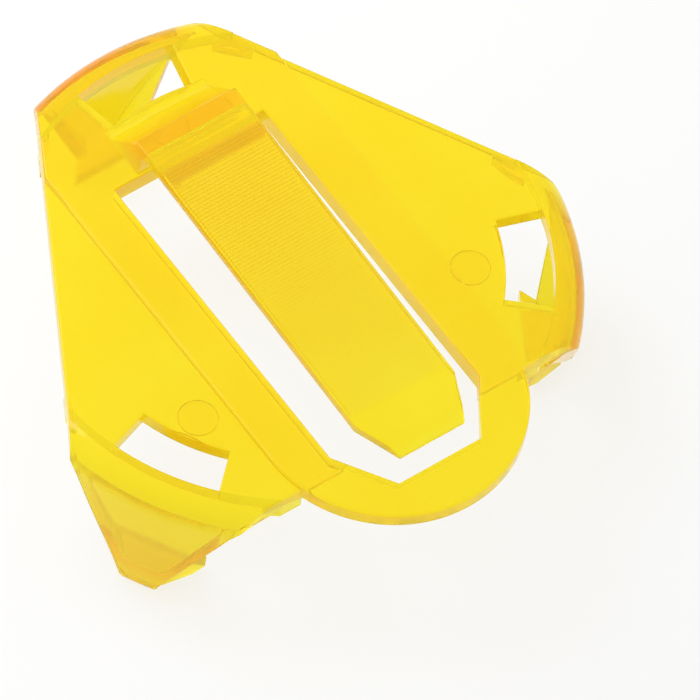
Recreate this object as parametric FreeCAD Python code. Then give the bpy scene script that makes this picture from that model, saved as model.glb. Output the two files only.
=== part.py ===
import FreeCAD, Part
import math
import os

# Snap-on spring clip, moulded in one piece of clear yellow plastic.
# Z is up and the three claws stand on z = 0.  Y runs along the spring tongue,
# root end at +Y and loop at -Y.  All lengths are millimetres.

# --- plate -------------------------------------------------------------
R_PLATE = 37.4            # arc that cuts the three corners
CORNER_HALF = 17.5        # half angle of each corner arc, degrees
WING_TOP = 20.0
WING_T = 2.3
WING_BOT = WING_TOP - WING_T
EDGE_DIST = R_PLATE * math.cos(math.radians(60.0 - CORNER_HALF))
CORNERS = {"head": 90.0, "left": 210.0, "right": 330.0}

# --- windows above the claw lips -----------------------------------------
WIN_R_IN = 27.5
WIN_R_OUT = 33.5
WIN_HALF = 12.0           # degrees

# --- raised strip: head pad, two legs and the loop ------------------------
STRIP_HALF = 17.3
STRIP_TOP = 20.8
LOOP_Y = -22.5            # centre of the round end
LOOP_BOT = 18.6
SLOT_HALF = 11.05
SLOT_HEAD_Y = 19.2
SLOT_SHOULDER_Y = -26.0
SLOT_END_Y = -33.4
SLOT_END_HALF = 6.1

# --- spring tongue -------------------------------------------------------
TONGUE_HALF = 7.4
TONGUE_T = 1.6
TONGUE_Y = 18.9           # root end of the blade
TONGUE_Z = 25.6           # mid height of the blade at its root
TONGUE_DROP = 2.9         # slope towards the loop, degrees
BLADE_LEN = 44.4
TIP_LEN = 6.1
TIP_HALF = 4.8
TIP_BEVEL = 0.9
RISER_TOP = 26.4
RAMP_LEN = 7.6            # the tongue's root runs down to the head pad
RAMP_STEPS = 12

# --- fine cross ribs on the tongue ----------------------------------------
RIB_PITCH = 0.5
RIB_H = 0.22
RIB_BASE = 0.12
RIB_FIRST = 3.2
RIB_COUNT = 80
RIB_HALF = 7.1

# --- claws -----------------------------------------------------------------
FLEX_GAP = 0.3            # parting between a spring member and the plate
CLAW_R_IN = 35.7
CLAW_TOP = WING_BOT - FLEX_GAP
CLAW_TOP_HALF = 11.0
CLAW_MID_HALF = 6.5
CLAW_MID_Z = 8.7
CLAW_FOOT_HALF = 1.9
LIP_Y = 31.5              # straight inner edge of the lip
LIP_HALF = 6.4
LIP_BACK_Y = 36.2
LIP_BACK_HALF = 2.4
LIP_TOP = 3.0
LIP_LEAD = 0.9
FLANK_TOP = (10.9, 35.5)  # gusset's corners in plan: under the plate,
FLANK_FOOT = (2.1, 37.1)  # at the tip of the foot,
FLANK_IN = (5.0, 33.6)    # and on the lip
FLANK_T = 1.4

# --- small moulded details ---------------------------------------------------
RAIL_DEPTH = 1.4
PAD_R = 2.5
PAD_H = 0.5
PAD_AT = 23.4
CENTRE_Y = (STRIP_HALF - LOOP_Y - R_PLATE) / 2  # puts the origin mid length


def vec(x, y, z=0.0):
    return FreeCAD.Vector(x, y, z)


def spin(shape, degrees):
    out = shape.copy()
    out.rotate(vec(0, 0), vec(0, 0, 1), degrees)
    return out


def mirror_x(shape):
    return shape.mirror(vec(0, 0), vec(1, 0, 0))


def prism(points, z0, z1):
    ring = [vec(x, y, z0) for x, y in points]
    wire = Part.makePolygon(ring + ring[:1])
    return Part.Face(wire).extrude(vec(0, 0, z1 - z0))


def side_prism(points, half):
    """Extrude a (y, z) profile from -half to +half along X."""
    ring = [vec(-half, y, z) for y, z in points]
    wire = Part.makePolygon(ring + ring[:1])
    return Part.Face(wire).extrude(vec(2 * half, 0, 0))


def drum(radius, z0, z1, x=0.0, y=0.0):
    return Part.makeCylinder(radius, z1 - z0, vec(x, y, z0))


def block(x0, x1, y0, y1, z0, z1):
    return Part.makeBox(x1 - x0, y1 - y0, z1 - z0, vec(x0, y0, z0))


def soften(shape, pick, size):
    edges = [e for e in shape.Edges if pick(e)]
    if not edges:
        return shape
    try:
        out = shape.makeFillet(size, edges)
    except Part.OCCError:
        return shape
    return out if out.isValid() else shape


def on_top(z):
    def pick(edge):
        box = edge.BoundBox
        return abs(box.ZMin - z) < 1e-4 and abs(box.ZMax - z) < 1e-4
    return pick


def outline(z0, z1):
    """Three sided plate with its corners cut by one circle."""
    points = []
    for angle in CORNERS.values():
        a = math.radians(angle)
        points.append((2 * EDGE_DIST * math.cos(a), 2 * EDGE_DIST * math.sin(a)))
    return drum(R_PLATE, z0, z1).common(prism(points, z0, z1))


def window(angle, z0, z1):
    ring = drum(WIN_R_OUT, z0, z1).cut(drum(WIN_R_IN, z0, z1))
    a = math.radians(WIN_HALF)
    far = 2 * WIN_R_OUT
    wedge = prism([(0, 0), (-far * math.sin(a), far), (far * math.sin(a), far)], z0, z1)
    return spin(ring.common(wedge), angle - 90.0)


def windows(z0, z1):
    cut = None
    for angle in CORNERS.values():
        one = window(angle, z0, z1)
        cut = one if cut is None else cut.fuse(one)
    return cut


def slot(z0, z1):
    points = [(-SLOT_HALF, SLOT_HEAD_Y), (-SLOT_HALF, SLOT_SHOULDER_Y)]
    points += [(-SLOT_END_HALF, SLOT_END_Y), (SLOT_END_HALF, SLOT_END_Y)]
    points += [(SLOT_HALF, SLOT_SHOULDER_Y), (SLOT_HALF, SLOT_HEAD_Y)]
    return prism(points, z0, z1)


def strip(z0, z1):
    bar = block(-STRIP_HALF, STRIP_HALF, LOOP_Y, R_PLATE, z0, z1)
    return bar.fuse(drum(STRIP_HALF, z0, z1, 0.0, LOOP_Y)).removeSplitter()


def make_wing(side):
    body = outline(WING_BOT, WING_TOP)
    body = body.cut(block(-STRIP_HALF, STRIP_HALF, -60, 60, 0, 60))
    body = body.cut(windows(0, 60))
    keep = block(-60, 0, -60, 60, 0, 60) if side < 0 else block(0, 60, -60, 60, 0, 60)
    return body.common(keep)


def make_head_pad():
    body = strip(WING_BOT, STRIP_TOP).common(outline(WING_BOT, STRIP_TOP))
    body = body.common(block(-60, 60, SLOT_HEAD_Y, 60, 0, 60))
    return body.cut(window(CORNERS["head"], 0, 60))


def make_leg(side):
    body = strip(WING_BOT, STRIP_TOP).common(outline(WING_BOT, STRIP_TOP))
    body = body.common(block(-60, 60, -60, SLOT_HEAD_Y, 0, 60)).cut(slot(0, 60))
    keep = block(-60, 0, -60, 60, 0, 60) if side < 0 else block(0, 60, -60, 60, 0, 60)
    return body.common(keep)


def make_loop():
    body = strip(LOOP_BOT, STRIP_TOP).cut(slot(0, 60))
    return body.common(block(-60, 60, -60, -EDGE_DIST, 0, 60))


def make_riser():
    """Upright face under the tongue's root, ramped smoothly down behind."""
    rise = RISER_TOP - STRIP_TOP
    points = [(SLOT_HEAD_Y, STRIP_TOP)]
    for i in range(RAMP_STEPS + 1):
        t = i / RAMP_STEPS
        fall = (1 + math.cos(math.pi * t)) / 2
        points.append((SLOT_HEAD_Y + RAMP_LEN * t, STRIP_TOP + rise * fall))
    return side_prism(points[:0:-1] + points[:1], TONGUE_HALF)


def lay_on_slope(shape):
    """Move a part drawn flat, root at the origin, onto the tongue's slope."""
    out = shape.copy()
    out.rotate(vec(0, 0), vec(1, 0, 0), TONGUE_DROP)
    out.translate(vec(0, TONGUE_Y, TONGUE_Z))
    return out


def make_blade():
    half = TONGUE_T / 2
    body = block(-TONGUE_HALF, TONGUE_HALF, -BLADE_LEN, 0, -half, half)
    return lay_on_slope(body)


def make_tip():
    half = TONGUE_T / 2
    end = -BLADE_LEN - TIP_LEN
    points = [(-TONGUE_HALF, -BLADE_LEN), (-TIP_HALF, end)]
    points += [(TIP_HALF, end), (TONGUE_HALF, -BLADE_LEN)]
    body = prism(points, -half, half)
    bevel = [(end - 1, half + 1), (end - 1, half - TIP_BEVEL), (end, half - TIP_BEVEL)]
    bevel += [(end + 2 * TIP_BEVEL, half), (end + 2 * TIP_BEVEL, half + 1)]
    return lay_on_slope(body.cut(side_prism(bevel, TONGUE_HALF + 1)))


def make_ribs():
    base = TONGUE_T / 2
    points = [(-RIB_FIRST, base), (-RIB_FIRST, base + RIB_BASE)]
    for i in range(RIB_COUNT):
        start = -RIB_FIRST - i * RIB_PITCH
        points.append((start - 0.3 * RIB_PITCH, base + RIB_BASE + RIB_H))
        points.append((start - RIB_PITCH, base + RIB_BASE))
    points.append((points[-1][0], base))
    return lay_on_slope(side_prism(points, RIB_HALF))


def claw_profile():
    """Outline of a claw seen from outside, narrowing to the foot."""
    left = Part.Arc(vec(-CLAW_FOOT_HALF, 25, 0), vec(-CLAW_MID_HALF, 25, CLAW_MID_Z),
                    vec(-CLAW_TOP_HALF, 25, CLAW_TOP)).toShape()
    top = Part.makeLine(vec(-CLAW_TOP_HALF, 25, CLAW_TOP), vec(CLAW_TOP_HALF, 25, CLAW_TOP))
    right = Part.Arc(vec(CLAW_TOP_HALF, 25, CLAW_TOP), vec(CLAW_MID_HALF, 25, CLAW_MID_Z),
                     vec(CLAW_FOOT_HALF, 25, 0)).toShape()
    foot = Part.makeLine(vec(CLAW_FOOT_HALF, 25, 0), vec(-CLAW_FOOT_HALF, 25, 0))
    return Part.Face(Part.Wire([left, top, right, foot])).extrude(vec(0, 20, 0))


def claw_shape():
    ring = drum(R_PLATE, 0, CLAW_TOP).cut(drum(CLAW_R_IN, 0, CLAW_TOP))
    return ring.common(claw_profile())


def lip_shape():
    points = [(-LIP_HALF, LIP_Y), (-LIP_BACK_HALF, LIP_BACK_Y)]
    points += [(LIP_BACK_HALF, LIP_BACK_Y), (LIP_HALF, LIP_Y)]
    body = prism(points, 0, LIP_TOP)
    lead = [(LIP_Y - 1, -1), (LIP_Y - 1, LIP_LEAD), (LIP_Y, LIP_LEAD), (LIP_Y + 1.4, 0)]
    lead += [(LIP_Y + 1.4, -1)]
    return body.common(drum(CLAW_R_IN, 0, LIP_TOP)).cut(side_prism(lead, 20))


def flank_shape(side):
    """Gusset from the wall's tapering edge in over the lip."""
    top = vec(side * FLANK_TOP[0], FLANK_TOP[1], CLAW_TOP)
    foot = vec(side * FLANK_FOOT[0], FLANK_FOOT[1], 0)
    inner = vec(side * FLANK_IN[0], FLANK_IN[1], LIP_TOP)
    inward = (top - foot).cross(inner - foot)
    inward.normalize()
    if inward.x * side > 0:
        inward = inward * -1
    body = Part.Face(Part.makePolygon([top, foot, inner, top])).extrude(inward * FLANK_T)
    body = body.common(block(-20, 20, 20, 40, 0, CLAW_TOP)).common(drum(R_PLATE, 0, CLAW_TOP))
    body = body.cut(claw_shape()).cut(lip_shape())
    return sorted(body.Solids, key=lambda s: s.Volume)[-1]


def make_claw_flank(angle, side):
    return spin(flank_shape(side), angle - 90.0)


def make_claw_wall(angle):
    return spin(claw_shape(), angle - 90.0)


def make_claw_lip(angle):
    solids = sorted(lip_shape().Solids, key=lambda s: s.Volume)
    return spin(solids[-1], angle - 90.0)


def make_rail(angle, side):
    points = [(11.5, 35.0), (11.5, 32.4), (13.2, 29.9), (15.8, 27.45)]
    body = prism(points, WING_BOT - RAIL_DEPTH, WING_BOT)
    body = body.common(outline(0, 60))
    if side < 0:
        body = mirror_x(body)
    return spin(body, angle - 90.0)


def make_stand_off(angle):
    a = math.radians(angle)
    x = PAD_AT * math.cos(a)
    y = PAD_AT * math.sin(a)
    body = drum(PAD_R, WING_BOT - PAD_H, WING_BOT, x, y)
    return soften(body, on_top(WING_BOT - PAD_H), 0.2)


def all_parts():
    parts = {"wing_left": make_wing(-1), "wing_right": make_wing(1)}
    parts["head_pad"] = make_head_pad()
    parts["leg_left"] = make_leg(-1)
    parts["leg_right"] = make_leg(1)
    parts["loop"] = make_loop()
    parts["tongue_riser"] = make_riser()
    parts["tongue_blade"] = make_blade()
    parts["tongue_ribs"] = make_ribs()
    parts["tongue_tip"] = make_tip()
    for name, angle in CORNERS.items():
        parts["claw_wall_" + name] = make_claw_wall(angle)
        parts["claw_lip_" + name] = make_claw_lip(angle)
        parts["claw_flank_" + name + "_a"] = make_claw_flank(angle, -1)
        parts["claw_flank_" + name + "_b"] = make_claw_flank(angle, 1)
        parts["stand_off_" + name] = make_stand_off(angle)
        parts["rail_" + name + "_a"] = make_rail(angle, -1)
        parts["rail_" + name + "_b"] = make_rail(angle, 1)
    return parts


os.makedirs("parts", exist_ok=True)
for node, shape in all_parts().items():
    solid = shape.Solids[0] if len(shape.Solids) == 1 else shape
    solid.translate(vec(0, CENTRE_Y))
    print(node, len(shape.Solids), shape.isValid(), round(shape.Volume, 2))
    solid.exportStep("parts/" + node + ".step")
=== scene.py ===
import math

import bmesh
import bpy
from mathutils import Matrix, Vector


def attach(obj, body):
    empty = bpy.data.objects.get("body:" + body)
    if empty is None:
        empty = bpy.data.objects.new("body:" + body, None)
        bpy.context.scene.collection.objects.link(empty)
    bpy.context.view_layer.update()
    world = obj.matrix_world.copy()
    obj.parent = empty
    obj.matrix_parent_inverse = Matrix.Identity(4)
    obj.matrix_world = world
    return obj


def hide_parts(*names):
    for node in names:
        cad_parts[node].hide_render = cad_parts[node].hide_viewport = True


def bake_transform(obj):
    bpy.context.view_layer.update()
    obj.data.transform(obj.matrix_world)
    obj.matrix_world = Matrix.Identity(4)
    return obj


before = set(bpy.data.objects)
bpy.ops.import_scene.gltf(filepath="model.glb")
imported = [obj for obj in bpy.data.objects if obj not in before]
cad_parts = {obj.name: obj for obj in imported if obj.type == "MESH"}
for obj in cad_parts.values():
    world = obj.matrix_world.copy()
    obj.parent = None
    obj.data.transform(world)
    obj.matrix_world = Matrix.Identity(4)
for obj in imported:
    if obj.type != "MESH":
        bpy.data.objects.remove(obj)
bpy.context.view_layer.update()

# Everything is drawn in millimetres in the CAD's own plan position, then
# shifted by CENTRE_Y and scaled to metres.
MM = 0.001
CENTRE_Y = 1.2

# Plate, with one corner arc and one claw at each of three angles.
R_PLATE = 37.4
CORNER_HALF = 17.5        # degrees
CORNER_STEPS = 28
EDGE_DIST = R_PLATE * math.cos(math.radians(60.0 - CORNER_HALF))
WING_TOP = 20.0
WING_BOT = 17.7
CORNERS = {"head": 90.0, "left": 210.0, "right": 330.0}
EDGE_ROUND = 0.28

# Windows above the claws' lips.
WIN_R_IN = 27.5
WIN_R_OUT = 33.5
WIN_HALF = 12.0           # degrees
WIN_STEPS = 20
WIN_CUT_R = 34.5          # the cutter runs on into the rim, which is cut away too

# Raised strip, its round end and the slot beside the tongue.
STRIP_HALF = 17.3
STRIP_TOP = 20.8
STRIP_INSET = 0.02        # keeps the strip's sides off the plate's
LOOP_Y = -22.5
LOOP_BOT = 18.6
LOOP_STEPS = 72
SLOT_HALF = 11.05
SLOT_HEAD_Y = 19.2
SLOT_SHOULDER_Y = -26.0
SLOT_END_Y = -33.4
SLOT_END_HALF = 6.1

# Small details under the plate.
RAIL_DEPTH = 1.4
RAIL_SINK = 0.4           # how far a rail runs up into the plate
RAIL_INSET = 0.03         # a rail's side stays this far inside the plate's
PAD_R = 2.5
PAD_AT = 23.4
PAD_H = 0.5
PAD_SINK = 0.6
PAD_ROUND = 0.25
PAD_SIDES = 40

# Spring tongue and the ramp that carries its root.
TONGUE_HALF = 7.4
TONGUE_T = 1.6
TONGUE_Y = 18.9
TONGUE_Z = 25.6
TONGUE_SLOPE = math.radians(2.9)
TONGUE_LEN = 50.5
TONGUE_ROUND = 0.22
TONGUE_TOP = 26.55        # nothing on the tongue stands higher than this
ROOT_LAP = 2              # the blade runs this far back into the ramp
SHOULDER = 44.4
TIP_HALF = 4.8
TIP_BEVEL = 0.9
RISER_TOP = 26.4
RISER_SINK = 0.35         # how far the riser runs down into the head pad
RISER_BACK = 0.3          # the riser's upright face stands behind the slot's end
RAMP_LEN = 7.6
RAMP_STEPS = 24
RAMP_SINK = 0.05

# Fine cross ribs on the tongue.
RIB_PITCH = 0.5
RIB_H = 0.22
RIB_FOOT = 0.02           # height of the grooves over the blade
RIB_SINK = 0.3            # depth of the comb in the blade
RIB_LEAN = 0.3            # where the crest is, as a share of the pitch
RIB_FIRST = 3.2
RIB_COUNT = 80
RIB_INSET = 0.3           # the ribs stop short of the blade's sides

# Claws.
WALL_R_IN = 35.7
CLAW_HALF_ANGLE = 26.0    # wider than the corner, so the plate's straight edges trim it
CLAW_STEPS = 52
CLAW_ROUND = 0.12
SEAM_NEAR = 0.03          # edges this close to the seam with the plate,
SHARP_BELOW = 1.2         # or lower than this,
SHORT_EDGE = 0.25         # or shorter than this stay sharp
TURN_STEPS = 10           # steps round the bend from the plate into the wall
LIP_Y = 31.5
LIP_HALF = 6.4
LIP_BACK_Y = 36.0
LIP_BACK_HALF = 2.7
LIP_TOP = 3.0
LIP_LEAD = 0.9
LIP_LEAD_Y = 32.9
FLANK_TOP = (11.0, 35.5, 17.5)
FLANK_FOOT = (2.1, 37.1, 0.0)
FLANK_IN = (5.0, 33.6, 3.0)
FLANK_T = 1.4

LAP = 0.02                # separate pieces overlap by this much
CUT_LOW = 5.0             # cutters for the plate start and end
CUT_HIGH = 35.0           # well clear of it
CUT_STEP = 0.01
FAR = 40.0                # more than half the clip's width


# --- mesh helpers ---------------------------------------------------------
def mesh_object(name, verts, faces):
    mesh = bpy.data.meshes.new(name)
    mesh.from_pydata([tuple(v) for v in verts], [], faces)
    mesh.validate()
    obj = bpy.data.objects.new(name, mesh)
    bpy.context.scene.collection.objects.link(obj)
    fix_normals(obj)
    return obj


def fix_normals(obj):
    """Turn every face outwards."""
    bm = bmesh.new()
    bm.from_mesh(obj.data)
    bmesh.ops.recalc_face_normals(bm, faces=bm.faces)
    bm.to_mesh(obj.data)
    bm.free()


def extrude_ring(name, ring_a, ring_b):
    """Solid between two outlines in space with the same number of points."""
    n = len(ring_a)
    faces = [list(range(n))[::-1], list(range(n, 2 * n))]
    faces += [[i, (i + 1) % n, n + (i + 1) % n, n + i] for i in range(n)]
    return mesh_object(name, list(ring_a) + list(ring_b), faces)


def prism(points, z0, z1, name="prism"):
    return lofted(name, [(points, z0), (points, z1)])


def lofted(name, layers):
    """Solid through a stack of outlines with the same number of points."""
    n = len(layers[0][0])
    verts = [(x, y, z) for ring, z in layers for x, y in ring]
    last = n * (len(layers) - 1)
    faces = [list(range(n))[::-1], list(range(last, last + n))]
    for k in range(0, last, n):
        faces += [[k + i, k + (i + 1) % n, k + n + (i + 1) % n, k + n + i] for i in range(n)]
    return mesh_object(name, verts, faces)


def offset_ring(ring, distance):
    """The outline moved outwards by distance."""
    n = len(ring)
    area = sum(ring[i - 1][0] * ring[i][1] - ring[i][0] * ring[i - 1][1] for i in range(n))
    side = distance if area > 0 else -distance
    out = []
    for i, point in enumerate(ring):
        here = Vector(point)
        before = (here - Vector(ring[i - 1])).normalized()
        after = (Vector(ring[(i + 1) % n]) - here).normalized()
        lean = Vector((before.y + after.y, -before.x - after.x))
        out.append(tuple(here + lean * (2 * side / lean.length_squared)))
    return out


def quarter(steps=3):
    """(inset, depth) pairs of a unit quarter round, from the face to the side."""
    angles = [math.radians(90.0 * i / steps) for i in range(steps + 1)]
    return [(1 - math.sin(a), 1 - math.cos(a)) for a in angles]


def rounded_prism(ring, z0, z1, radius, name="prism"):
    """Prism whose top and bottom edges are rounded."""
    layers = [(offset_ring(ring, -radius * i), z0 + radius * d) for i, d in quarter()]
    layers += [(offset_ring(ring, -radius * i), z1 - radius * d) for i, d in quarter()[::-1]]
    return lofted(name, layers)


def rounding_cutter(ring, z0, z1, radius):
    """Cutter that leaves rounded edges on a plate from z0 to z1."""
    wide = offset_ring(ring, radius)
    layers = [(wide, CUT_LOW), (wide, z0 - CUT_STEP)]
    layers += [(offset_ring(ring, radius * i), z0 + radius * d) for i, d in quarter()[1:]]
    layers += [(offset_ring(ring, radius * i), z1 - radius * d) for i, d in quarter()[:0:-1]]
    layers += [(wide, z1 + CUT_STEP), (wide, CUT_HIGH)]
    return lofted("cutter", layers)


def side_prism(points, half, name="side"):
    """A (y, z) profile run from -half to half along X."""
    return extrude_ring(name, [(-half, y, z) for y, z in points], [(half, y, z) for y, z in points])


def apply_modifiers(obj):
    bpy.context.view_layer.update()
    done = obj.evaluated_get(bpy.context.evaluated_depsgraph_get())
    mesh = bpy.data.meshes.new_from_object(done)
    obj.modifiers.clear()
    obj.data = mesh


def combine(obj, other, operation):
    """Boolean of obj with other, which is used up."""
    mod = obj.modifiers.new("bool", "BOOLEAN")
    mod.operation = operation
    mod.solver = "EXACT"
    mod.object = other
    apply_modifiers(obj)
    bpy.data.objects.remove(other)
    return obj


def tidy(obj, distance=0.004):
    """Merge the close points that booleans leave, and dissolve edges in flat faces."""
    bm = bmesh.new()
    bm.from_mesh(obj.data)
    bmesh.ops.remove_doubles(bm, verts=bm.verts, dist=distance)
    bmesh.ops.dissolve_limit(bm, angle_limit=math.radians(1.0), verts=bm.verts, edges=bm.edges)
    bm.to_mesh(obj.data)
    bm.free()


def triangulate(obj, distance=0.002):
    """Split the faces that have more than four corners."""
    bm = bmesh.new()
    bm.from_mesh(obj.data)
    bmesh.ops.remove_doubles(bm, verts=bm.verts, dist=distance)
    wide = [face for face in bm.faces if len(face.verts) > 4]
    bmesh.ops.triangulate(bm, faces=wide, ngon_method="BEAUTY")
    bm.to_mesh(obj.data)
    bm.free()


def bevel(obj, width, segments=2, angle=35.0, keep=None):
    """Round the sharp edges, except those that keep() wants left sharp."""
    bm = bmesh.new()
    bm.from_mesh(obj.data)
    picked = []
    for edge in bm.edges:
        if len(edge.link_faces) != 2 or edge.calc_face_angle() < math.radians(angle):
            continue
        if keep is None or not keep(*[vert.co for vert in edge.verts]):
            picked.append(edge)
    bmesh.ops.bevel(bm, geom=picked, offset=width, segments=segments, profile=0.5,
                    affect="EDGES", clamp_overlap=False)
    bm.to_mesh(obj.data)
    bm.free()


def arc(radius, start, end, steps, x=0.0, y=0.0):
    """Points round a circle, between two angles in degrees."""
    out = []
    for i in range(steps + 1):
        a = math.radians(start + (end - start) * i / steps)
        out.append((x + radius * math.cos(a), y + radius * math.sin(a)))
    return out


def turned(obj, degrees):
    """Turn a drawing about the upright axis."""
    obj.data.transform(Matrix.Rotation(math.radians(degrees), 4, "Z"))
    return obj


def place(obj, smooth_angle=40.0):
    """Move a finished drawing into the part's own frame, in metres, and shade it smooth."""
    triangulate(obj)
    obj.data.transform(Matrix.Scale(MM, 4) @ Matrix.Translation((0, CENTRE_Y, 0)))
    for face in obj.data.polygons:
        face.use_smooth = True
    obj.data.set_sharp_from_angle(angle=math.radians(smooth_angle))
    mod = obj.modifiers.new("flats", "WEIGHTED_NORMAL")
    mod.keep_sharp = True
    apply_modifiers(obj)
    return obj


# --- one moulding, in separate pieces ---------------------------------------
def plate_ring():
    """Three-sided plate whose corners are arcs of one circle."""
    ring = []
    for angle in CORNERS.values():
        ring += arc(R_PLATE, angle - CORNER_HALF, angle + CORNER_HALF, CORNER_STEPS)
    return ring


def strip_ring():
    """Head arc, down the plate's edges to the strip's sides, and round the loop."""
    corner = R_PLATE * math.sin(math.radians(CORNER_HALF))
    corner_y = R_PLATE * math.cos(math.radians(CORNER_HALF))
    shoulder = corner_y - (STRIP_HALF - corner) * math.tan(math.radians(60))
    ring = arc(R_PLATE, 90 - CORNER_HALF, 90 + CORNER_HALF, CORNER_STEPS)
    ring.append((-STRIP_HALF, shoulder))
    ring += arc(STRIP_HALF, 180, 360, LOOP_STEPS, 0.0, LOOP_Y)
    ring.append((STRIP_HALF, shoulder))
    return ring


def window_cutter(angle, top):
    ring = arc(WIN_R_IN, 90 - WIN_HALF, 90 + WIN_HALF, WIN_STEPS)
    ring += arc(WIN_CUT_R, 90 + WIN_HALF, 90 - WIN_HALF, WIN_STEPS)
    return turned(rounding_cutter(ring, WING_BOT, top, EDGE_ROUND), angle - 90.0)


def rim_cutter(angle):
    """The corner rim outside the window belongs to the claw."""
    ring = arc(WIN_R_OUT + LAP, 90 - CLAW_HALF_ANGLE, 90 + CLAW_HALF_ANGLE, CLAW_STEPS)
    return turned(prism(ring + [(-30, 50), (30, 50)], 10, 30), angle - 90.0)


def slot_cutter():
    ring = [(-SLOT_HALF, SLOT_HEAD_Y), (-SLOT_HALF, SLOT_SHOULDER_Y)]
    ring += [(-SLOT_END_HALF, SLOT_END_Y), (SLOT_END_HALF, SLOT_END_Y)]
    ring += [(SLOT_HALF, SLOT_SHOULDER_Y), (SLOT_HALF, SLOT_HEAD_Y)]
    return rounding_cutter(ring, WING_BOT, STRIP_TOP, EDGE_ROUND)


def rail(angle, side):
    """Short skirt under a straight edge, as good as flush with it."""
    out = Vector((math.cos(math.radians(30)), math.sin(math.radians(30))))
    inner = [(11.5, 34.9), (11.5, 32.4), (12.2, 31.2), (13.3, 29.8), (14.5, 28.6), (15.6, 27.6)]
    flush = [Vector(end) + out * (EDGE_DIST - RAIL_INSET - out.dot(end)) for end in (inner[-1], inner[0])]
    ring = [(side * x, y) for x, y in inner + [tuple(point) for point in flush]]
    body = prism(ring, WING_BOT - RAIL_DEPTH, WING_BOT + RAIL_SINK)
    return turned(body, angle - 90.0)


def stand_off(angle):
    ring = arc(PAD_R, 0, 360 - 360 / PAD_SIDES, PAD_SIDES - 1, 0.0, PAD_AT)
    body = rounded_prism(ring, WING_BOT - PAD_H, WING_BOT + PAD_SINK, PAD_ROUND)
    return turned(body, angle - 90.0)


def make_moulding():
    """Plate, strip, loop, rails and stand-offs, with the windows and the slot cut out."""
    body = rounded_prism(plate_ring(), WING_BOT, WING_TOP, EDGE_ROUND, "moulding")
    strip = rounded_prism(offset_ring(strip_ring(), -STRIP_INSET), LOOP_BOT, STRIP_TOP, EDGE_ROUND)
    combine(body, strip, "UNION")
    for corner, angle in CORNERS.items():
        top = STRIP_TOP if corner == "head" else WING_TOP
        combine(body, rail(angle, -1), "UNION")
        combine(body, rail(angle, 1), "UNION")
        combine(body, stand_off(angle), "UNION")
        combine(body, rim_cutter(angle), "DIFFERENCE")
        combine(body, window_cutter(angle, top), "DIFFERENCE")
    combine(body, slot_cutter(), "DIFFERENCE")
    return place(body)


def on_slope(obj):
    """Move a piece drawn flat, root at the origin, onto the tongue's slope."""
    lie = Matrix.Translation((0, TONGUE_Y, TONGUE_Z)) @ Matrix.Rotation(TONGUE_SLOPE, 4, "X")
    obj.data.transform(lie)
    return obj


def rib_comb():
    """All the ribs, as one comb sunk into the blade's top."""
    base = TONGUE_T / 2
    ring = [(-RIB_FIRST, base - RIB_SINK), (-RIB_FIRST, base + RIB_FOOT)]
    for i in range(RIB_COUNT):
        start = -RIB_FIRST - i * RIB_PITCH
        ring.append((start - RIB_LEAN * RIB_PITCH, base + RIB_H))
        ring.append((start - RIB_PITCH, base + RIB_FOOT))
    ring.append((ring[-1][0], base - RIB_SINK))
    return on_slope(side_prism(ring, TONGUE_HALF - RIB_INSET))


def riser_profile():
    """(y, z) outline: the ramp from the root down to the head pad, then the upright face."""
    rise = RISER_TOP - STRIP_TOP
    profile = []
    for i in range(RAMP_STEPS + 1):
        t = i / RAMP_STEPS
        fall = (1 + math.cos(math.pi * t)) / 2
        profile.append((SLOT_HEAD_Y + RAMP_LEN * t, STRIP_TOP - RAMP_SINK + rise * fall))
    foot = STRIP_TOP - RISER_SINK
    face = SLOT_HEAD_Y + RISER_BACK
    profile += [(SLOT_HEAD_Y + RAMP_LEN, foot), (face, foot), (face, 24.2)]
    # two short slopes lead from the upright face into the blade's underside
    profile += [(18.9, 24.55), (18.2, 24.72), (18.2, 26.42)]
    return profile


def make_tongue():
    """Blade and ramp in one, with a bevelled end and rounded edges, then the ribs."""
    half = TONGUE_T / 2
    plan = [(-TONGUE_HALF, ROOT_LAP), (-TONGUE_HALF, -SHOULDER), (-TIP_HALF, -TONGUE_LEN)]
    plan += [(TIP_HALF, -TONGUE_LEN), (TONGUE_HALF, -SHOULDER), (TONGUE_HALF, ROOT_LAP)]
    blade = on_slope(prism(plan, -half, half, "tongue_spring"))
    combine(blade, side_prism(riser_profile(), TONGUE_HALF), "UNION")
    above = half + 1.2
    start = -TONGUE_LEN + 2 * TIP_BEVEL
    wedge = [(-TONGUE_LEN - 1, above), (-TONGUE_LEN - 1, half - TIP_BEVEL)]
    wedge += [(-TONGUE_LEN, half - TIP_BEVEL), (start, half), (start, above)]
    combine(blade, on_slope(side_prism(wedge, 12)), "DIFFERENCE")
    tidy(blade)
    bevel(blade, TONGUE_ROUND)
    for vert in blade.data.vertices:
        vert.co.z = min(vert.co.z, TONGUE_TOP)
    combine(blade, rib_comb(), "UNION")
    return place(blade)


def claw_taper():
    """Outline of a claw seen from outside, narrowing to a rounded foot."""
    points = [(16.0, 21.5), (16.0, 17.7), (12.4, 17.6), (11.2, 17.0), (10.4, 16.0), (9.3, 14.0)]
    points += [(8.2, 12.0), (7.1, 10.0), (6.0, 8.0), (4.9, 6.0), (3.9, 4.0), (3.0, 2.0), (2.5, 0.9)]
    points += [(1.9, 0.25), (1.4, -0.1)]
    ring = points + [(-x, z) for x, z in reversed(points)]
    return extrude_ring("taper", [(x, 28, z) for x, z in ring], [(x, 42, z) for x, z in ring])


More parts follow.
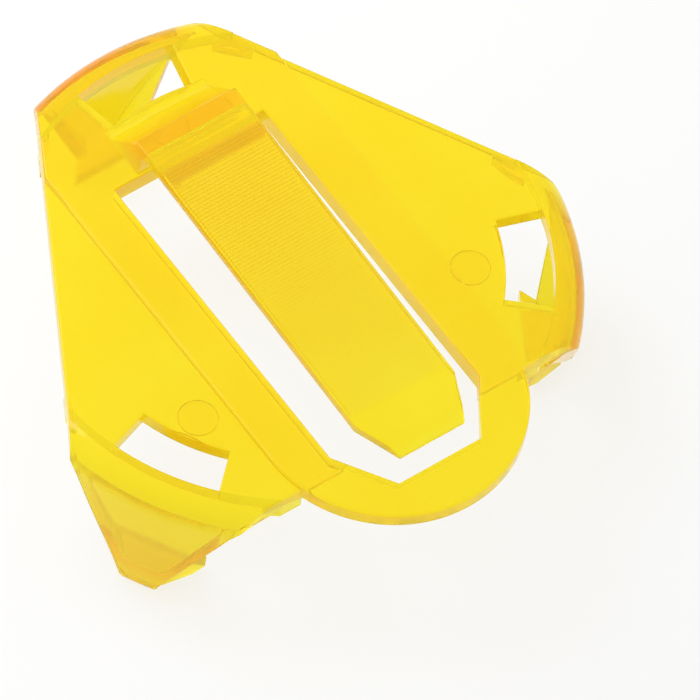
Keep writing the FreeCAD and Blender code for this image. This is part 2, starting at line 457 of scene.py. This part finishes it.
def claw_section(top):
    """(radius, z) section where the plate turns down into a claw's thin wall."""
    turn = R_PLATE - WIN_R_OUT
    outer = []
    inner = []
    for i in range(TURN_STEPS + 1):
        a = math.radians(90.0 / TURN_STEPS * i)
        outer.append((WIN_R_OUT + turn * math.sin(a), top - turn + turn * math.cos(a)))
        inner.append((WIN_R_OUT + (WALL_R_IN - WIN_R_OUT) * math.sin(a),
                      top - turn + (WING_BOT - top + turn) * math.cos(a)))
    foot = [(R_PLATE, 8.0), (R_PLATE, 0.8), (37.3, 0.4), (37.05, 0.12), (36.7, 0.0), (WALL_R_IN, 0.0)]
    return outer + foot + inner[::-1]


def swept(name, section, half_angle, steps):
    """A (radius, z) section swept about the upright axis, centred on +Y."""
    n = len(section)
    verts = []
    for k in range(steps + 1):
        a = math.radians(90 - half_angle + 2 * half_angle * k / steps)
        verts += [(r * math.cos(a), r * math.sin(a), z) for r, z in section]
    faces = [list(range(n)), list(range(steps * n, steps * n + n))[::-1]]
    for k in range(0, steps * n, n):
        faces += [[k + i, k + (i + 1) % n, k + n + (i + 1) % n, k + n + i] for i in range(n)]
    return mesh_object(name, verts, faces)


def flank(side):
    """Gusset from the wall's tapering edge in over the lip."""
    corners = [Vector((side * x, y, z)) for x, y, z in (FLANK_TOP, FLANK_FOOT, FLANK_IN)]
    top, foot, inner = corners
    inward = (top - foot).cross(inner - foot).normalized()
    if inward.x * side > 0:
        inward = -inward
    body = extrude_ring("flank", corners, [point + inward * FLANK_T for point in corners])
    room = prism([(-20, 20), (20, 20), (20, 39), (-20, 39)], 0.03, WING_BOT + 0.05)
    return combine(body, room, "INTERSECT")


def left_sharp(a, b):
    """The seam with the plate, the rounded foot and the shortest edges keep their shape."""
    at_seam = all(abs(math.hypot(p.x, p.y) - WIN_R_OUT) < SEAM_NEAR for p in (a, b))
    return at_seam or max(a.z, b.z) < SHARP_BELOW or (a - b).length < SHORT_EDGE


def make_claw(name, angle):
    """Rim, wall, lip and gussets of one corner, drawn at +Y and then turned."""
    top = STRIP_TOP if name == "head" else WING_TOP
    body = swept("claw_" + name, claw_section(top), CLAW_HALF_ANGLE, CLAW_STEPS)
    apex = EDGE_DIST / math.sin(math.radians(30))
    side = (EDGE_DIST - FAR * math.cos(math.radians(30))) / math.sin(math.radians(30))
    combine(body, prism([(0, apex), (-FAR, side), (FAR, side)], -2, 30), "INTERSECT")
    combine(body, claw_taper(), "INTERSECT")
    plan = [(-LIP_HALF, LIP_Y), (-LIP_BACK_HALF, LIP_BACK_Y)]
    plan += [(LIP_BACK_HALF, LIP_BACK_Y), (LIP_HALF, LIP_Y)]
    lip = prism(plan, 0.02, LIP_TOP)
    lead = [(LIP_Y - 1, -1), (LIP_Y - 1, LIP_LEAD), (LIP_Y, LIP_LEAD), (LIP_LEAD_Y, 0), (LIP_LEAD_Y, -1)]
    combine(lip, side_prism(lead, 20), "DIFFERENCE")
    combine(body, lip, "UNION")
    for hand in (-1, 1):
        combine(body, flank(hand), "UNION")
    tidy(body, 0.03)
    bevel(body, CLAW_ROUND, keep=left_sharp)
    for vert in body.data.vertices:
        vert.co.z = max(vert.co.z, 0.0)
    turned(body, angle - 90.0)
    return place(body)


# --- material -----------------------------------------------------------------
TINT_DEEP = (0.98, 0.880, 0.020, 1.0)
TINT_PALE = (0.98, 0.930, 0.035, 1.0)
# painted shade for the grooves between the tongue's ribs
GROOVE_SHADE_TINT = (0.97, 0.70, 0.35, 1.0)
SHADE_TINT = (0.962, 0.958, 0.950, 1.0)
DEPTH_TINT = (0.9975, 0.775, 0.10, 1.0)
DEPTH_SEEN = 400.0        # absorption per metre along the rays that are seen
DEPTH_SHADE = 20.0        # and along those that only carry shade
POLISHED = (0.08, 0.08, 0.08, 1.0)
WORN = (0.20, 0.20, 0.20, 1.0)


def value_noise(nodes, links, coords, scale, detail=4.0):
    noise = nodes.new("ShaderNodeTexNoise")
    noise.inputs["Scale"].default_value = scale
    noise.inputs["Detail"].default_value = detail
    links.new(coords.outputs["Object"], noise.inputs["Vector"])
    return noise


def ramp(nodes, links, source, stops):
    """Colour ramp with (position, colour) stops, fed by source."""
    node = nodes.new("ShaderNodeValToRGB")
    elements = node.color_ramp.elements
    while len(elements) < len(stops):
        elements.new(0.5)
    for element, (pos, colour) in zip(elements, stops):
        element.position = pos
        element.color = colour
    links.new(source, node.inputs["Fac"])
    return node


def paint_groove_shade(nodes, links, coords, colour):
    """Paint shade into the grooves between the tongue's ribs, less towards its tip."""
    bands = nodes.new("ShaderNodeTexWave")
    bands.wave_type = "BANDS"
    bands.bands_direction = "Y"
    bands.wave_profile = "TRI"
    # the wave node repeats every 2 pi / 20 at scale 1
    bands.inputs["Scale"].default_value = 2 * math.pi / (20 * RIB_PITCH * MM)
    links.new(coords.outputs["Object"], bands.inputs["Vector"])
    split = nodes.new("ShaderNodeSeparateXYZ")
    links.new(coords.outputs["Object"], split.inputs["Vector"])
    first = (TONGUE_Y + CENTRE_Y - RIB_FIRST) * MM
    fade = nodes.new("ShaderNodeMapRange")
    fade.inputs["From Min"].default_value = first - RIB_COUNT * RIB_PITCH * MM
    fade.inputs["From Max"].default_value = first
    fade.inputs["To Min"].default_value = 0.10
    fade.inputs["To Max"].default_value = 1.0
    links.new(split.outputs["Y"], fade.inputs["Value"])
    inside = nodes.new("ShaderNodeMath")
    inside.operation = "LESS_THAN"
    inside.inputs[1].default_value = first
    links.new(split.outputs["Y"], inside.inputs[0])
    product = bands.outputs["Fac"]
    for factor in (fade.outputs["Result"], inside.outputs["Value"]):
        times = nodes.new("ShaderNodeMath")
        times.operation = "MULTIPLY"
        links.new(product, times.inputs[0])
        links.new(factor, times.inputs[1])
        product = times.outputs["Value"]
    mix = nodes.new("ShaderNodeMixRGB")
    mix.blend_type = "MULTIPLY"
    mix.inputs["Color2"].default_value = GROOVE_SHADE_TINT
    links.new(product, mix.inputs["Fac"])
    links.new(colour, mix.inputs["Color1"])
    return mix.outputs["Color"]


def clear_yellow(name, groove_shade=False):
    """Clear plastic, slightly mottled, worn and wavy, that deepens with its thickness; on request with
    painted shade in the grooves between the tongue's ribs.
    """
    mat = bpy.data.materials.new(name)
    mat.use_nodes = True
    nodes = mat.node_tree.nodes
    links = mat.node_tree.links
    nodes.clear()
    out = nodes.new("ShaderNodeOutputMaterial")
    body = nodes.new("ShaderNodeBsdfPrincipled")
    coords = nodes.new("ShaderNodeTexCoord")
    body.inputs["Transmission Weight"].default_value = 0.75
    body.inputs["IOR"].default_value = 1.30

    cloud = value_noise(nodes, links, coords, 60.0)
    tint = ramp(nodes, links, cloud.outputs["Fac"], [(0.30, TINT_DEEP), (0.70, TINT_PALE)])
    colour = tint.outputs["Color"]
    # painted shade darkens the grooves between the tongue's ribs
    if groove_shade:
        colour = paint_groove_shade(nodes, links, coords, colour)
    links.new(colour, body.inputs["Base Color"])

    wear = value_noise(nodes, links, coords, 900.0, 6.0)
    rough = ramp(nodes, links, wear.outputs["Fac"], [(0.35, POLISHED), (0.80, WORN)])
    links.new(rough.outputs["Color"], body.inputs["Roughness"])

    flow = value_noise(nodes, links, coords, 140.0, 2.0)
    bump = nodes.new("ShaderNodeBump")
    bump.inputs["Strength"].default_value = 0.12
    bump.inputs["Distance"].default_value = 0.0004
    links.new(flow.outputs["Fac"], bump.inputs["Height"])
    links.new(bump.outputs["Normal"], body.inputs["Normal"])

    # Shadow rays and bounced light pass almost untinted, so the shade on the floor
    # stays pale and neutral.
    path = nodes.new("ShaderNodeLightPath")
    lit = nodes.new("ShaderNodeMath")
    lit.operation = "MAXIMUM"
    links.new(path.outputs["Is Shadow Ray"], lit.inputs[0])
    links.new(path.outputs["Is Diffuse Ray"], lit.inputs[1])
    passing = nodes.new("ShaderNodeBsdfTransparent")
    passing.inputs["Color"].default_value = SHADE_TINT
    mix = nodes.new("ShaderNodeMixShader")
    links.new(lit.outputs["Value"], mix.inputs["Fac"])
    links.new(body.outputs["BSDF"], mix.inputs[1])
    links.new(passing.outputs["BSDF"], mix.inputs[2])
    links.new(mix.outputs["Shader"], out.inputs["Surface"])

    depth = nodes.new("ShaderNodeVolumeAbsorption")
    depth.inputs["Color"].default_value = DEPTH_TINT
    thick = nodes.new("ShaderNodeMapRange")
    thick.inputs["To Min"].default_value = DEPTH_SEEN
    thick.inputs["To Max"].default_value = DEPTH_SHADE
    links.new(lit.outputs["Value"], thick.inputs["Value"])
    links.new(thick.outputs["Result"], depth.inputs["Density"])
    links.new(depth.outputs["Volume"], out.inputs["Volume"])
    return mat


def plain(name, colour, rough):
    mat = bpy.data.materials.new(name)
    mat.use_nodes = True
    shader = mat.node_tree.nodes["Principled BSDF"]
    shader.inputs["Base Color"].default_value = colour
    shader.inputs["Roughness"].default_value = rough
    return mat


YELLOW = clear_yellow("clear_yellow_plastic")
# the tongue's plastic carries painted shade in its rib grooves
YELLOW_GROOVE_SHADED = clear_yellow("clear_yellow_groove_shaded", groove_shade=True)


def finish_piece(obj, material=YELLOW):
    """Give a piece its plastic."""
    obj.data.materials.clear()
    obj.data.materials.append(material)
    return obj


# --- pieces, the moulding on the body it belongs to -------------------------------
moulding = finish_piece(make_moulding())
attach(moulding, "frame")
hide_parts("wing_left", "wing_right", "head_pad", "leg_left", "leg_right", "loop")
for corner in CORNERS:
    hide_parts("stand_off_" + corner, "rail_" + corner + "_a", "rail_" + corner + "_b")

tongue = finish_piece(make_tongue(), YELLOW_GROOVE_SHADED)
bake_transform(tongue)
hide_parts("tongue_riser", "tongue_blade", "tongue_ribs", "tongue_tip")

for corner, corner_angle in CORNERS.items():
    claw = finish_piece(make_claw(corner, corner_angle))
    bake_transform(claw)
    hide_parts("claw_wall_" + corner, "claw_lip_" + corner)
    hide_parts("claw_flank_" + corner + "_a", "claw_flank_" + corner + "_b")


# --- setting ----------------------------------------------------------------------
def area_light(name, place_at, aim, size, watts):
    """Square soft light at place_at, facing aim."""
    lamp = bpy.data.lights.new(name, "AREA")
    lamp.size = size
    lamp.energy = watts
    obj = bpy.data.objects.new(name, lamp)
    obj.location = place_at
    obj.rotation_euler = (Vector(aim) - Vector(place_at)).to_track_quat("-Z", "Y").to_euler()
    bpy.context.scene.collection.objects.link(obj)


def make_floor():
    """Wide sheet of pale paper, a hair under the claws' feet."""
    reach = 3.0
    z = -0.0001
    floor = mesh_object("floor", [(-reach, -reach, z), (reach, -reach, z), (reach, reach, z),
                                  (-reach, reach, z)], [[0, 1, 2, 3]])
    floor.data.materials.append(plain("paper", (0.93, 0.93, 0.925, 1.0), 0.7))


def make_camera():
    """Long lens from far away, looking down on the clip, turned a little about its own axis."""
    azimuth = math.radians(-133.44)
    elevation = math.radians(56.90)
    roll = math.radians(9.55)
    distance = 3.186
    target = Vector((0.0002, -0.0132, 0.020))
    away = Vector((math.cos(elevation) * math.cos(azimuth),
                   math.cos(elevation) * math.sin(azimuth), math.sin(elevation)))
    data = bpy.data.cameras.new("camera")
    data.sensor_width = 36.0
    data.lens = 1357.0
    data.clip_end = 20.0
    camera = bpy.data.objects.new("camera", data)
    turn = (-away).to_track_quat("-Z", "Y").to_matrix().to_4x4()
    camera.matrix_world = (Matrix.Translation(target + away * distance) @ turn
                           @ Matrix.Rotation(roll, 4, "Z"))
    bpy.context.scene.collection.objects.link(camera)
    bpy.context.scene.camera = camera


def make_room(brightness):
    """Even white light from all around."""
    world = bpy.data.worlds.new("soft_room")
    world.use_nodes = True
    background = world.node_tree.nodes["Background"]
    background.inputs["Color"].default_value = (1.0, 1.0, 1.0, 1.0)
    background.inputs["Strength"].default_value = brightness
    bpy.context.scene.world = world


make_floor()
make_camera()
make_room(0.63)
bpy.context.scene.view_settings.view_transform = "Standard"
area_light("key", (-0.14, 0.32, 0.50), (0, 0, 0), 0.30, 1.9)
area_light("fill", (0.45, -0.35, 0.40), (0, 0, 0), 0.5, 0.5)
